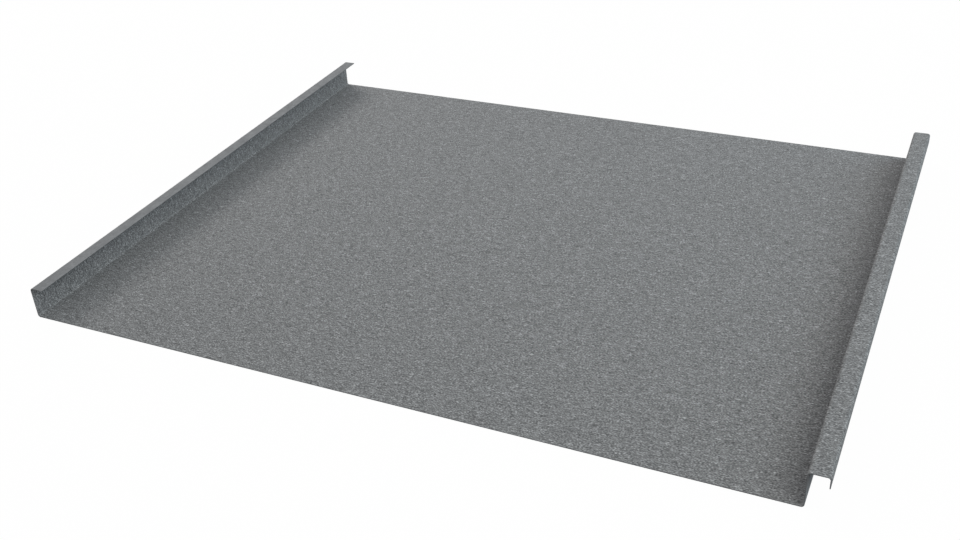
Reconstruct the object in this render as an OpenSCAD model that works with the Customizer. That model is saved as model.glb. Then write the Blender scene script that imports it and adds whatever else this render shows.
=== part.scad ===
// Standing seam roof panel: one roll-formed sheet of coated steel, open at both ends.
// X runs across the pan, Y along the seams and Z up. The origin is the centre of the pan's underside.
// The under seam is the folded edge that the next panel's over seam hooks over.

/* [Pan] */
// Cover width, between the outer faces of the two legs
cover_w = 540; // [250:1:700]
// Length of the panel along its seams
panel_l = 442; // [100:1:3000]

/* [Sheet] */
// Thickness of the coated sheet
sheet_t = 0.6; // [0.5:0.05:1]
// Inside radius of every bend
bend_inner_r = 1.4; // [0.6:0.1:2.2]

/* [Under seam] */
// Height of the under seam, from the pan's underside to the top of its flange
under_h = 24; // [20:0.5:50]
// Reach of the under seam's flange, from its leg's outer face to its edge
under_flange_w = 10.8; // [8:0.1:14]

/* [Over seam] */
// Play between an under flange and the over flange that lies on it
seam_play_h = 0.4; // [0.1:0.1:2]
// Play between an under flange's edge and the lip that hooks round it
seam_play_w = 0.8; // [0.2:0.1:2]
// Depth of the hook, from the top of the over flange to the edge of its lip
lip_h = 7.8; // [5:0.1:12]

/* [Hidden] */
bend_outer_r = bend_inner_r + sheet_t;
leg_x = cover_w / 2; // both legs' outer faces lie this far from the middle
over_h = under_h + seam_play_h + sheet_t;
hook_w = under_flange_w + seam_play_w; // clear width between the over leg and its lip
$fn = 96;

// Straight stretch of sheet, seen end on: its corner nearest the origin of the section, then its size
module strip(x, z, w, h) {
    translate([x, z]) square([w, h]);
}

// Quarter bend about [x, z], turned by a from the quarter that looks towards +X and +Z
module bend(x, z, a) {
    translate([x, z]) rotate(a) intersection() {
        difference() {
            circle(r = bend_outer_r);
            circle(r = bend_inner_r);
        }
        square(bend_outer_r);
    }
}

// Flat pan between the two bottom bends
module pan() {
    strip(-leg_x + bend_outer_r, 0, cover_w - 2 * bend_outer_r, sheet_t);
}

// Leg at -X whose flange folds back over the pan
module under_seam() {
    bend_x = -leg_x + bend_outer_r;
    top_z = under_h - bend_outer_r;
    bend(bend_x, bend_outer_r, 180);
    strip(-leg_x, bend_outer_r, sheet_t, top_z - bend_outer_r);
    bend(bend_x, top_z, 90);
    strip(bend_x, under_h - sheet_t, under_flange_w - bend_outer_r, sheet_t);
}

// Leg at +X whose flange folds outwards and ends in a turned-down lip
module over_seam() {
    top_z = over_h - bend_outer_r;
    leg_bend_x = leg_x + bend_inner_r;
    lip_bend_x = leg_x + hook_w - bend_inner_r;
    bend(leg_x - bend_outer_r, bend_outer_r, 270);
    strip(leg_x - sheet_t, bend_outer_r, sheet_t, top_z - bend_outer_r);
    bend(leg_bend_x, top_z, 90);
    strip(leg_bend_x, over_h - sheet_t, lip_bend_x - leg_bend_x, sheet_t);
    bend(lip_bend_x, top_z, 0);
    strip(leg_x + hook_w, over_h - lip_h, sheet_t, lip_h - bend_outer_r);
}

// The whole section, drawn along the panel's length
module roof_panel() {
    color([0.50, 0.51, 0.52]) rotate([90, 0, 0]) linear_extrude(height = panel_l, center = true) {
        pan();
        under_seam();
        over_seam();
    }
}

roof_panel();
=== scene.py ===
import math

import bmesh
import bpy
from mathutils import Matrix, Vector


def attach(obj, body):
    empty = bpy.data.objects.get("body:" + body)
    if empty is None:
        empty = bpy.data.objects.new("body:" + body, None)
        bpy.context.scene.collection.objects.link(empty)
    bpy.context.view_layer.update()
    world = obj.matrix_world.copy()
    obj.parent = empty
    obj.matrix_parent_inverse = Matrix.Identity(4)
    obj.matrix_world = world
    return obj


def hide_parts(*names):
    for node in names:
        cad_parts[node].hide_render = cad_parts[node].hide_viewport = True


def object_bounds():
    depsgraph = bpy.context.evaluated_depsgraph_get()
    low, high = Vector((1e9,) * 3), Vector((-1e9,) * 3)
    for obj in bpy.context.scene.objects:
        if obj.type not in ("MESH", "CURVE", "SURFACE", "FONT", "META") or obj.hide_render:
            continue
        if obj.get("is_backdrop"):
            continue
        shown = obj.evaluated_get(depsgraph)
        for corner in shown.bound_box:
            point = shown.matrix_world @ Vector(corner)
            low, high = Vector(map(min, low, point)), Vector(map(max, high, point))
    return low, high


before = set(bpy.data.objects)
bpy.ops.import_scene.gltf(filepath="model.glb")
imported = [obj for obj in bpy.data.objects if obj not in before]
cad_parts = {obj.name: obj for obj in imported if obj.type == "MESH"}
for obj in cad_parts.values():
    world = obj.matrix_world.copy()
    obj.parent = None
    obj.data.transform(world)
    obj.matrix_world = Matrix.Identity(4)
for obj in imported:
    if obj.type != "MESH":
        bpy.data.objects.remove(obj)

mm = 0.001
quarterTurn = math.pi / 2
sharpAngle = math.radians(30)           # faces that meet at more than this have an edge between them
cadLow, cadHigh = (Vector(corner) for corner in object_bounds())
print("frame loaded")


# Short ways to write node trees

def addNode(tree, kind, inputs=None, **settings):
    node = tree.nodes.new(kind)
    for name, value in settings.items():
        setattr(node, name, value)
    for socket, value in (inputs or {}).items():
        if isinstance(value, bpy.types.NodeSocket):
            tree.links.new(value, node.inputs[socket])
        else:
            node.inputs[socket].default_value = value
    return node


def calc(tree, operation, *values, clamp=False):
    inputs = dict(enumerate(values))
    return addNode(tree, "ShaderNodeMath", inputs, operation=operation, use_clamp=clamp).outputs[0]


def vectorCalc(tree, operation, *values):
    inputs = dict(enumerate(values))
    return addNode(tree, "ShaderNodeVectorMath", inputs, operation=operation).outputs[0]


def scaled(tree, vector, factor):
    inputs = {0: vector, "Scale": factor}
    return addNode(tree, "ShaderNodeVectorMath", inputs, operation="SCALE").outputs[0]


def remap(tree, value, low, high, newLow, newHigh, smooth=True):
    node = addNode(tree, "ShaderNodeMapRange", dict(enumerate((value, low, high, newLow, newHigh))))
    if smooth:
        node.interpolation_type = "SMOOTHSTEP"
    return node.outputs[0]


def storedValue(tree, name, kind):
    node = addNode(tree, "GeometryNodeInputNamedAttribute", {"Name": name}, data_type=kind)
    return node.outputs["Attribute"]


def newTree(name, kind, inputs, outputs):
    tree = bpy.data.node_groups.new(name, kind)
    for direction, sockets in (("INPUT", inputs), ("OUTPUT", outputs)):
        for socketName, socketKind in sockets.items():
            tree.interface.new_socket(
                socketName, in_out=direction, socket_type="NodeSocket" + socketKind)
    entry = tree.nodes.new("NodeGroupInput")
    result = tree.nodes.new("NodeGroupOutput")
    return tree, entry.outputs, result.inputs


# Camera

cameraView = {
    "place": (324.6, -706.2, 447.1),    # millimetres from the middle of the pan's underside
    "azimuth": 26.35,                   # degrees that it looks to the left of the seams' direction
    "elevation": 31.70,                 # degrees that it looks down
    "roll": -3.64,                      # degrees; below 0 it leans to its right
    "fieldOfView": 45.0,                # degrees across the picture
    "nearest": 0.01,                    # metres; what is closer isn't drawn
}


def towards(azimuth, elevation):
    # Both in radians; azimuth 0 points past the back end, and a quarter turn past the over seam
    level = math.cos(elevation)
    return Vector((math.sin(azimuth) * level, math.cos(azimuth) * level, math.sin(elevation)))


def makeCamera():
    azimuth, elevation, roll, fieldOfView = (
        math.radians(cameraView[name]) for name in ("azimuth", "elevation", "roll", "fieldOfView"))
    look = towards(-azimuth, -elevation)
    turn = look.to_track_quat("-Z", "Y").to_matrix() @ Matrix.Rotation(roll, 3, "Z")
    lens = bpy.data.cameras.new("camera")
    lens.lens = lens.sensor_width / 2 / math.tan(fieldOfView / 2)
    lens.clip_start = cameraView["nearest"]
    camera = bpy.data.objects.new("camera", lens)
    camera.matrix_world = Matrix.Translation(Vector(cameraView["place"]) * mm) @ turn.to_4x4()
    bpy.context.scene.collection.objects.link(camera)
    bpy.context.scene.camera = camera


makeCamera()
print("camera placed")


# The sheet: a flat blank that Geometry Nodes fold at five lines

sheetSizes = {                # millimetres; the outer sizes come from the frame
    "thickness": 0.6,
    "bendInside": 1.4,        # inside radius of every bend
    "underSeamHeight": 24.0,
    "underFlangeReach": 10.8,
    "lipDepth": 7.8,
    "edgeRounding": 0.08,     # a sheared edge is a little rolled over
    "edgeSteps": 2,           # faces round each edge
    "bendSteps": 16,          # faces round each bend
    "bendMargin": 0.4,        # narrow strips beside a bend keep the flats' shading flat
}
thickness = sheetSizes["thickness"] * mm
edgeRounding = sheetSizes["edgeRounding"] * mm
bendOutside = (sheetSizes["bendInside"] + sheetSizes["thickness"]) * mm
bendRadius = bendOutside - thickness / 2          # of the middle of the sheet
bendLength = bendRadius * quarterTurn
halfCover = -cadLow.x                             # from the middle line to a leg's outer face
halfLength = cadHigh.y

# How far from the blank's middle line each bend begins, and where the blank ends
panBend = halfCover - bendOutside
overFlangeBend = panBend + bendLength + cadHigh.z - 2 * bendOutside
lipBend = overFlangeBend + bendLength + cadHigh.x - halfCover + thickness - 2 * bendOutside
overEdge = lipBend + bendLength + sheetSizes["lipDepth"] * mm - bendOutside
underFlangeBend = panBend + bendLength + sheetSizes["underSeamHeight"] * mm - 2 * bendOutside
underEdge = underFlangeBend + bendLength + sheetSizes["underFlangeReach"] * mm - bendOutside

weatherSide, backingSide, cutSide = range(3)
flatNormal = 0.99             # a flat side's normal stands up or hangs down by more than this


def blankColumns():
    margin = sheetSizes["bendMargin"] * mm
    steps = sheetSizes["bendSteps"]
    columns = {overEdge, -underEdge}
    for side, starts in ((1, (panBend, overFlangeBend, lipBend)), (-1, (panBend, underFlangeBend))):
        for start in starts:
            columns.update(side * (start + bendLength * i / steps) for i in range(steps + 1))
            columns.update((side * (start - margin), side * (start + bendLength + margin)))
    return sorted(columns)


def facing(normal):
    # The rounded corners of the sheet count as part of the cut beside them
    if abs(normal.z) > flatNormal:
        return 0, 0, round(normal.z)
    if abs(normal.x) > abs(normal.y):
        return round(math.copysign(1, normal.x)), 0, 0
    return 0, round(math.copysign(1, normal.y)), 0


# The map that the finishes are baked through has a band of rows for each side of the flat sheet
mapSize = 1024
mapMargin = 0.002             # left free at both ends of a band, as a share of it
mapRows = {                   # by where the side faces
    (0, 0, 1): (302, 1022),
    (0, 0, -1): (38, 298),
    (0, 1, 0): (29, 34),
    (0, -1, 0): (20, 25),
    (1, 0, 0): (11, 16),
    (-1, 0, 0): (2, 7),
}


def mapPlace(corner, side):
    across = (corner.x + underEdge) / (underEdge + overEdge)
    along = (corner.y + halfLength) / (2 * halfLength)
    if side[2]:
        rise = along
    else:
        # The rounded strips beside a cut are laid above and below it
        inwards = {1: overEdge - corner.x, -1: corner.x + underEdge, 0: halfLength - abs(corner.y)}
        upwards = math.copysign(inwards[side[0]], corner.z - thickness / 2)
        rise = (corner.z + upwards + edgeRounding) / (thickness + 2 * edgeRounding)
    run = along if side[0] else across
    if side[0] - side[1] + side[2] < 0:
        run = 1 - run         # seen from outside, no side is mirrored
    low, high = mapRows[side]
    return mapMargin + (1 - 2 * mapMargin) * run, (low + rise * (high - low)) / mapSize


def makeBlank():
    ring = ((-halfLength, 0), (halfLength, 0), (halfLength, thickness), (-halfLength, thickness))
    bm = bmesh.new()
    rings = [[bm.verts.new((x, y, z)) for y, z in ring] for x in blankColumns()]
    for near, far in zip(rings, rings[1:]):
        for i in range(len(ring)):
            bm.faces.new((near[i - 1], near[i], far[i], far[i - 1]))
    bm.faces.new(rings[0])
    bm.faces.new(rings[-1])
    bmesh.ops.recalc_face_normals(bm, faces=bm.faces)
    corners = [edge for edge in bm.edges if edge.calc_face_angle() > sharpAngle]
    bmesh.ops.bevel(bm, geom=corners, offset=edgeRounding, segments=sheetSizes["edgeSteps"],
                    profile=0.5, affect="EDGES")
    bm.normal_update()
    alongWidth = bm.verts.layers.float.new("alongWidth")
    sheetSide = bm.faces.layers.int.new("sheetSide")
    bakeMap = bm.loops.layers.uv.new("OFBake")
    for vertex in bm.verts:
        vertex[alongWidth] = vertex.co.x
    for face in bm.faces:
        side = facing(face.normal)
        face[sheetSide] = {1: weatherSide, -1: backingSide, 0: cutSide}[side[2]]
        for loop in face.loops:
            loop[bakeMap].uv = mapPlace(loop.vert.co, side)
    blank = bpy.data.meshes.new("roofPanel")
    bm.to_mesh(blank)
    bm.free()
    return bpy.data.objects.new("roofPanel", blank)


def makeFoldTree():
    # What lies past the bend's start is drawn back by the arc and turned about the bend's centre
    tree, given, result = newTree(
        "foldAtLine", "GeometryNodeTree",
        {"Geometry": "Geometry", "Bend starts": "Float", "Side": "Float", "Turn": "Float",
         "Bend radius": "Float", "Mid height": "Float"},
        {"Geometry": "Geometry"})
    outward = calc(tree, "MULTIPLY", storedValue(tree, "alongWidth", "FLOAT"), given["Side"])
    length = calc(tree, "MULTIPLY", given["Bend radius"], quarterTurn)
    past = calc(tree, "SUBTRACT", outward, given["Bend starts"])
    taken = calc(tree, "MINIMUM", calc(tree, "MAXIMUM", past, 0.0), length)
    angle = calc(tree, "MULTIPLY", calc(tree, "DIVIDE", taken, given["Bend radius"]), given["Turn"])
    pull = addNode(tree, "ShaderNodeCombineXYZ", {"X": calc(tree, "MULTIPLY", taken, given["Side"])})
    place = addNode(tree, "GeometryNodeInputPosition")
    pulled = vectorCalc(tree, "SUBTRACT", place.outputs[0], pull.outputs[0])
    centre = addNode(tree, "ShaderNodeCombineXYZ", {
        "X": calc(tree, "MULTIPLY", given["Bend starts"], given["Side"]),
        "Z": calc(tree, "MULTIPLY_ADD", given["Turn"], given["Bend radius"], given["Mid height"])})
    axis = addNode(tree, "ShaderNodeCombineXYZ", {"Y": calc(tree, "MULTIPLY", given["Side"], -1.0)})
    turned = addNode(tree, "ShaderNodeVectorRotate", {
        "Vector": pulled, "Center": centre.outputs[0], "Axis": axis.outputs[0], "Angle": angle})
    bent = addNode(tree, "GeometryNodeSetPosition", {
        "Geometry": given["Geometry"], "Position": turned.outputs[0]})
    tree.links.new(bent.outputs[0], result["Geometry"])
    return tree


def makePanelTree():
    tree, given, result = newTree(
        "foldPanel", "GeometryNodeTree",
        {"Geometry": "Geometry", "Bend radius": "Float", "Mid height": "Float", "Pan bend": "Float",
         "Over flange bend": "Float", "Lip bend": "Float", "Under flange bend": "Float",
         "Weather coat": "Material", "Backing coat": "Material", "Cut edge": "Material"},
        {"Geometry": "Geometry"})
    fold = makeFoldTree()
    sheet = given["Geometry"]
    for line, side, turn in (("Lip bend", 1, -1), ("Over flange bend", 1, -1), ("Pan bend", 1, 1),
                             ("Under flange bend", -1, 1), ("Pan bend", -1, 1)):
        sheet = addNode(tree, "GeometryNodeGroup", {
            "Geometry": sheet, "Bend starts": given[line], "Side": side, "Turn": turn,
            "Bend radius": given["Bend radius"], "Mid height": given["Mid height"]},
            node_tree=fold).outputs[0]
    sheet = addNode(tree, "GeometryNodeRealizeInstances", {"Geometry": sheet}).outputs[0]
    sides = storedValue(tree, "sheetSide", "INT")
    for side, finish in ((weatherSide, "Weather coat"), (backingSide, "Backing coat"),
                         (cutSide, "Cut edge")):
        chosen = addNode(tree, "FunctionNodeCompare", data_type="INT", operation="EQUAL")
        tree.links.new(sides, chosen.inputs[2])
        chosen.inputs[3].default_value = side
        sheet = addNode(tree, "GeometryNodeSetMaterial", {
            "Geometry": sheet, "Selection": chosen.outputs[0],
            "Material": given[finish]}).outputs[0]
    tree.links.new(sheet, result["Geometry"])
    return tree


def makePanel(finishes):
    blank = makeBlank()
    bpy.context.scene.collection.objects.link(blank)
    tree = makePanelTree()
    folding = blank.modifiers.new("folding", "NODES")
    folding.node_group = tree
    values = {
        "Bend radius": bendRadius, "Mid height": thickness / 2, "Pan bend": panBend,
        "Over flange bend": overFlangeBend, "Lip bend": lipBend,
        "Under flange bend": underFlangeBend, **finishes}
    for item in tree.interface.items_tree:
        if item.in_out == "INPUT" and item.name in values:
            folding[item.identifier] = values[item.name]
    view = bpy.context.evaluated_depsgraph_get()
    folded = bpy.data.meshes.new_from_object(blank.evaluated_get(view), depsgraph=view)
    blank.modifiers.remove(folding)
    blank.data = folded
    folded.name = "roofPanel"
    folded.materials.pop(index=0)     # the blank's own slot, which no face uses
    folded.shade_smooth()
    folded.set_sharp_from_angle(angle=sharpAngle)
    return blank


# Materials

def newMaterial(name):
    material = bpy.data.materials.new(name)
    material.use_nodes = True
    tree = material.node_tree
    return material, tree, tree.nodes["Principled BSDF"]


def addGroup(tree, group, **inputs):
    return addNode(tree, "ShaderNodeGroup", inputs, node_tree=group).outputs[0]


noiseMiddle = 0.5
noiseLow, noiseHigh = 0.3, 0.7          # most of a noise's values lie between these
swaySpan = 9.0                          # a grain bends over this many times its own size


def makeSheetGrain():
    # Noise on the sheet as it lay flat, before it was bent. A grain is Size wide and Stretch times
    # as long, and lies at Slant to the pan's width
    tree, given, result = newTree(
        "sheetGrain", "ShaderNodeTree",
        {"Size": "Float", "Stretch": "Float", "Slant": "Float", "Sway": "Float", "Detail": "Float",
         "Layer": "Float"},
        {"Value": "Float"})
    acrossSheet = addNode(tree, "ShaderNodeAttribute", attribute_name="alongWidth")
    place = addNode(tree, "ShaderNodeTexCoord")
    parts = addNode(tree, "ShaderNodeSeparateXYZ", {0: place.outputs["Object"]})
    flat = addNode(tree, "ShaderNodeCombineXYZ", {
        "X": acrossSheet.outputs["Fac"], "Y": parts.outputs["Y"], "Z": given["Layer"]})
    swayNoise = addNode(tree, "ShaderNodeTexNoise", {
        "Vector": flat.outputs[0], "Detail": 0,
        "Scale": calc(tree, "DIVIDE", 1 / (swaySpan * mm), given["Size"])})
    centred = vectorCalc(tree, "SUBTRACT", swayNoise.outputs["Color"], (noiseMiddle,) * 3)
    reach = calc(tree, "MULTIPLY", calc(tree, "MULTIPLY", given["Sway"], given["Size"]), mm)
    swayed = vectorCalc(tree, "ADD", flat.outputs[0], scaled(tree, centred, reach))
    turned = addNode(tree, "ShaderNodeVectorRotate", {
        "Vector": swayed, "Angle": given["Slant"]}, rotation_type="Z_AXIS")
    squeeze = addNode(tree, "ShaderNodeCombineXYZ", {
        "X": calc(tree, "DIVIDE", 1.0, given["Stretch"]), "Y": 1.0, "Z": 1.0})
    noise = addNode(tree, "ShaderNodeTexNoise", {
        "Vector": vectorCalc(tree, "MULTIPLY", turned.outputs[0], squeeze.outputs[0]),
        "Scale": calc(tree, "DIVIDE", 1 / mm, given["Size"]), "Detail": given["Detail"]})
    tree.links.new(noise.outputs[0], result["Value"])
    return tree


def makeShade():
    # Turns a noise value into a factor for a colour, 1 at the noise's middle
    tree, given, result = newTree(
        "shade", "ShaderNodeTree", {"Value": "Float", "Depth": "Float"}, {"Factor": "Float"})
    centred = calc(tree, "SUBTRACT", given["Value"], noiseMiddle)
    swing = calc(tree, "MULTIPLY", centred, given["Depth"])
    tree.links.new(calc(tree, "EXPONENT", swing), result["Factor"])
    return tree


sheetGrain = makeSheetGrain()
shade = makeShade()


def grainLayer(tree, grain):
    return addGroup(tree, sheetGrain, **{
        "Size": grain["size"], "Stretch": grain["stretch"], "Slant": math.radians(grain["slant"]),
        "Sway": grain["sway"], "Detail": grain["detail"], "Layer": grain["layer"]})


def shadedColour(tree, colour, shades):
    for value, depth in shades:
        colour = scaled(tree, colour, addGroup(tree, shade, Value=value, Depth=depth))
    return colour


def finishMaterial(name, look):
    # A few layers of grain shade the colour, and the first one also sets roughness and relief
    material, tree, shader = newMaterial(name)
    layers = [grainLayer(tree, grain) for grain in look["grains"]]
    shades = [(layer, grain["depth"]) for layer, grain in zip(layers, look["grains"])]
    tree.links.new(shadedColour(tree, look["colour"], shades), shader.inputs["Base Color"])
    valley, top = look["roughness"]
    roughness = remap(tree, layers[0], noiseLow, noiseHigh, valley, top)
    tree.links.new(roughness, shader.inputs["Roughness"])
    bump = addNode(tree, "ShaderNodeBump", {"Height": layers[0], "Distance": look["relief"] * mm})
    tree.links.new(bump.outputs[0], shader.inputs["Normal"])
    shader.inputs["Specular IOR Level"].default_value = look["gloss"]
    return material


# Each line of grains is one layer: size is a grain's width in millimetres, stretch its length in
# widths, slant its angle to the pan's width in degrees, sway how far it wanders, in widths, detail
# how much finer grain it has, layer which slice of the noise it reads, depth how strongly it shades

weatherLook = {               # the textured coat: matt, with short drawn-out wrinkles
    "colour": (0.177, 0.182, 0.189),
    "roughness": (1.0, 0.9),  # in a wrinkle's valley and on its top
    "relief": 0.3,            # millimetres
    "gloss": 0.3,
    # The first layer's tone, darker in the wrinkles' valleys and lighter on their tops, and the
    # drawn-out streaks of the second are painted shade and light of the relief; the third is the
    # coat's own mottle
    "grains": [
        dict(size=0.55, stretch=2.2, slant=-3, sway=2, detail=0, layer=0.0, depth=2.4),
        dict(size=1.1, stretch=5.0, slant=-4, sway=2, detail=0, layer=0.1, depth=0.85),
        dict(size=5.0, stretch=1.0, slant=0, sway=0, detail=1, layer=0.2, depth=0.15),
    ],
}

backingLook = {               # the thin plain coat on the underside: dead matt, faintly mottled
    "colour": (0.207, 0.212, 0.222),
    "roughness": (0.6, 0.5),
    "relief": 0.01,
    "gloss": 0.0,
    "grains": [
        dict(size=1.5, stretch=1.4, slant=90, sway=0, detail=1, layer=0.3, depth=0.45),
        dict(size=6.0, stretch=1.2, slant=90, sway=0, detail=1, layer=0.4, depth=0.45),
    ],
}

cutLook = {                   # the sheared edge: dull steel and coat, scored through its thickness
    # Its colour, darker than both coats, is painted shade on the thin cut faces
    "colour": (0.105, 0.110, 0.118),
    "roughness": (0.6, 0.4),
    "relief": 0.02,
    "gloss": 0.3,
    "grains": [
        dict(size=0.4, stretch=1.0, slant=0, sway=0, detail=1, layer=0.5, depth=0.8),
        dict(size=5.0, stretch=1.0, slant=0, sway=0, detail=1, layer=0.6, depth=0.6),
    ],
}


panel = makePanel({
    "Weather coat": finishMaterial("weatherCoat", weatherLook),
    "Backing coat": finishMaterial("backingCoat", backingLook),
    "Cut edge": finishMaterial("cutEdge", cutLook),
})
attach(panel, "root")
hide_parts("roof_panel")
print("panel folded:", len(panel.data.polygons), "faces")


# Floor and light

studio = {
    "floorSize": 12.0,         # metres
    "floorColour": 0.4,
    "floorWhite": 0.96,        # share of plain white that the camera sees in the floor
    "whiteStrength": 1.02,     # makes up for the shaded rest, so that the two come out white
    "worldStrength": 0.51,     # of the white light from all round
    "lampDistance": 2.5,       # metres from the middle of the pan
}


def seenDirectly(tree):
    path = addNode(tree, "ShaderNodeLightPath")
    mirrored = calc(tree, "ADD", path.outputs["Is Glossy Ray"], path.outputs["Is Transmission Ray"])
    return calc(tree, "ADD", path.outputs["Is Camera Ray"], mirrored, clamp=True)


def makeFloor():
    bm = bmesh.new()
    bmesh.ops.create_grid(bm, x_segments=1, y_segments=1, size=studio["floorSize"] / 2)
    mesh = bpy.data.meshes.new("floor")
    bm.to_mesh(mesh)
    bm.free()
    floor = bpy.data.objects.new("floor", mesh)
    bpy.context.scene.collection.objects.link(floor)
    material, tree, shader = newMaterial("paleFloor")
    grey = studio["floorColour"]
    shader.inputs["Base Color"].default_value = (grey, grey, grey, 1)
    shader.inputs["Roughness"].default_value = 1.0
    shader.inputs["Specular IOR Level"].default_value = 0.0
    white = addNode(tree, "ShaderNodeEmission", {"Strength": studio["whiteStrength"]})
    share = calc(tree, "MULTIPLY", seenDirectly(tree), studio["floorWhite"])
    mixed = addNode(tree, "ShaderNodeMixShader", {
        0: share, 1: shader.outputs[0], 2: white.outputs[0]})
    tree.links.new(mixed.outputs[0], tree.nodes["Material Output"].inputs["Surface"])
    mesh.materials.append(material)
    floor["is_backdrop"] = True


def makeWorld():
    world = bpy.data.worlds.new("studio")
    world.use_nodes = True
    tree = world.node_tree
    strength = remap(tree, seenDirectly(tree), 0.0, 1.0, studio["worldStrength"], 1.0, smooth=False)
    background = tree.nodes["Background"]
    background.inputs["Color"].default_value = (1, 1, 1, 1)
    tree.links.new(strength, background.inputs["Strength"])
    bpy.context.scene.world = world


lamps = {                      # azimuth 0 is past the back end; degrees, metres across and watts
    "key": dict(azimuth=120, elevation=50, size=2.0, power=23.4, colour=(1.0, 1.03, 0.98)),
    "low": dict(azimuth=60, elevation=22, size=2.0, power=21.0, colour=(0.87, 1.03, 1.1)),
    "fill": dict(azimuth=300, elevation=35, size=1.0, power=20.7, colour=(1.06, 1.0, 0.94)),
}


def makeLamp(name, lamp):
    light = bpy.data.lights.new(name, "AREA")
    light.shape = "DISK"
    light.size = lamp["size"]
    light.energy = lamp["power"]
    light.color = lamp["colour"]
    direction = towards(math.radians(lamp["azimuth"]), math.radians(lamp["elevation"]))
    place = bpy.data.objects.new(name, light)
    place.matrix_world = (Matrix.Translation(direction * studio["lampDistance"])
                          @ direction.to_track_quat("Z", "Y").to_matrix().to_4x4())
    bpy.context.scene.collection.objects.link(place)


makeFloor()
makeWorld()
for name, lamp in lamps.items():
    makeLamp(name, lamp)
bpy.context.scene.view_settings.view_transform = "Standard"
print("floor and light ready")
